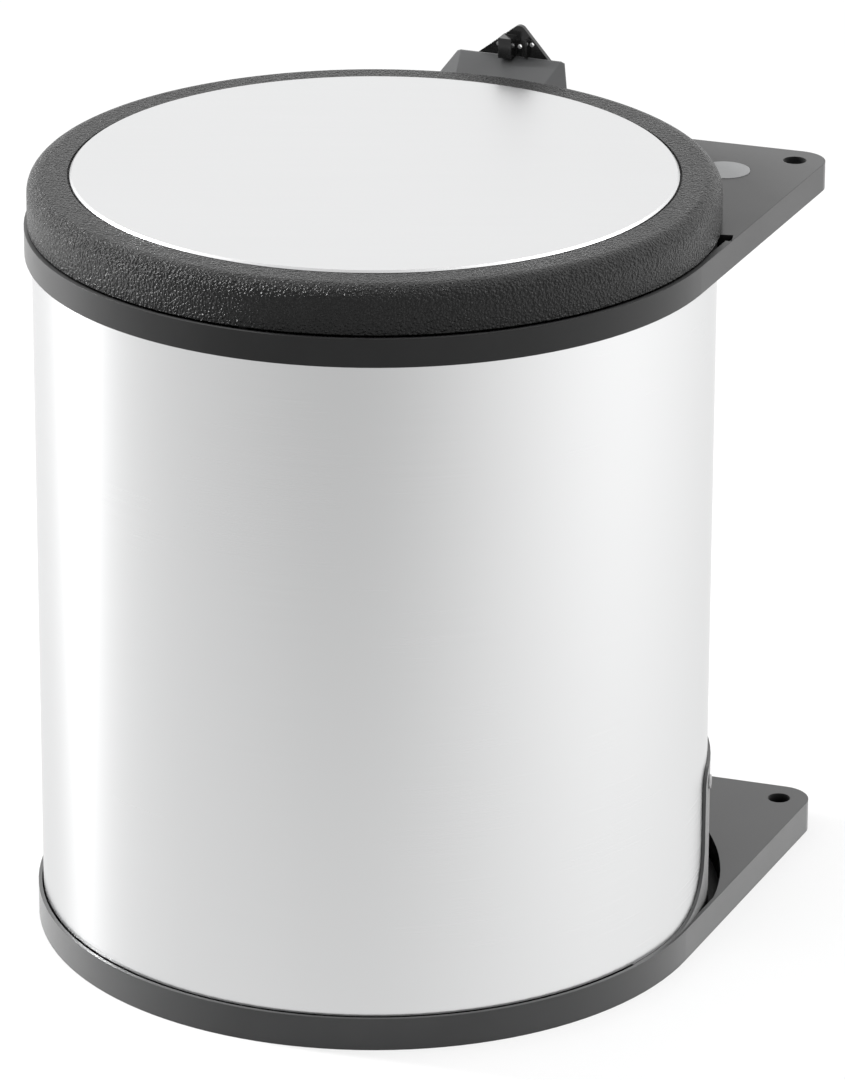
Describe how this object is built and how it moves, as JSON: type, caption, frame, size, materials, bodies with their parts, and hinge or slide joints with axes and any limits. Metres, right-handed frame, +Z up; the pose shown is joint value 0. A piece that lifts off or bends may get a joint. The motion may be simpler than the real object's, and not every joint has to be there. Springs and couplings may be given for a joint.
{
  "type": "swing-out waste bin",
  "caption": "Round steel-clad waste bin with moulded rings and pivot arms for a cabinet door post, a hinged disc-topped lid with a pull lever, and a lift-out inner bucket.",
  "frame": {"origin": "centre of the bin's round foot, on the plane it stands on", "axes": "+Z up along the bin's axis, +X towards the side with the two pivot arms, -Y towards the front of the picture, +Y towards the lid's hinge side"},
  "size_m": [0.311, 0.2789, 0.3225],
  "materials": {
    "frame_plastic": "satin moulded charcoal plastic",
    "casing_steel": "satin stainless steel, brushed upwards",
    "disc_steel": "satin stainless steel, brushed one way",
    "rivet_metal": "plain turned",
    "blank_plastic": "plain satin grey",
    "pin_steel": "bright drawn wire",
    "bucket_plastic": "satin grey moulding",
    "lid_plastic": "leather-grained charcoal moulding",
    "pad_foam": "soft grey foam",
    "panel_plastic": "plain satin grey moulding",
    "stop_rubber": "matt black",
    "cover_plastic": "smooth satin grey moulding",
    "screw_steel": "bright zinc-plated",
    "lever_plastic": "glossy black moulding"
  },
  "bodies": {
    "carrier": {"upper_frame": "frame_plastic", "lower_frame": "frame_plastic", "casing": "casing_steel", "upper_rivets": "rivet_metal", "lower_rivets": "rivet_metal", "arm_blank_disc": "blank_plastic", "hinge_pin": "pin_steel", "hinge_pin_caps": "frame_plastic", "bucket": "bucket_plastic"},
    "lid": {"lid_rim": "lid_plastic", "lid_disc": "disc_steel", "lid_disc_pad": "pad_foam", "lid_inner_panel": "panel_plastic", "lid_stops": "stop_rubber", "hinge_cover": "cover_plastic", "hinge_cover_screws": "screw_steel", "lid_lever": "lever_plastic", "lever_screws": "screw_steel"},
    "bail": {"bucket_bail": "pin_steel", "bail_grip": "lever_plastic"}
  },
  "joints": [
    {"name": "lid_hinge", "type": "hinge", "parent": "carrier", "child": "lid", "pos_m": [0.0517, 0.12795, 0.2965], "axis": [-0.9272, 0.3746, 0], "range_deg": [0, 80]},
    {"name": "bail_swing", "type": "hinge", "parent": "carrier", "child": "bail", "pos_m": [0, 0, 0.278], "axis": [-0.9272, 0.3746, 0], "range_deg": [0, 90]}
  ],
  "couplings": [
    {"joint": "bail_swing", "follows": "lid_hinge", "ratio": 1.125}
  ]
}
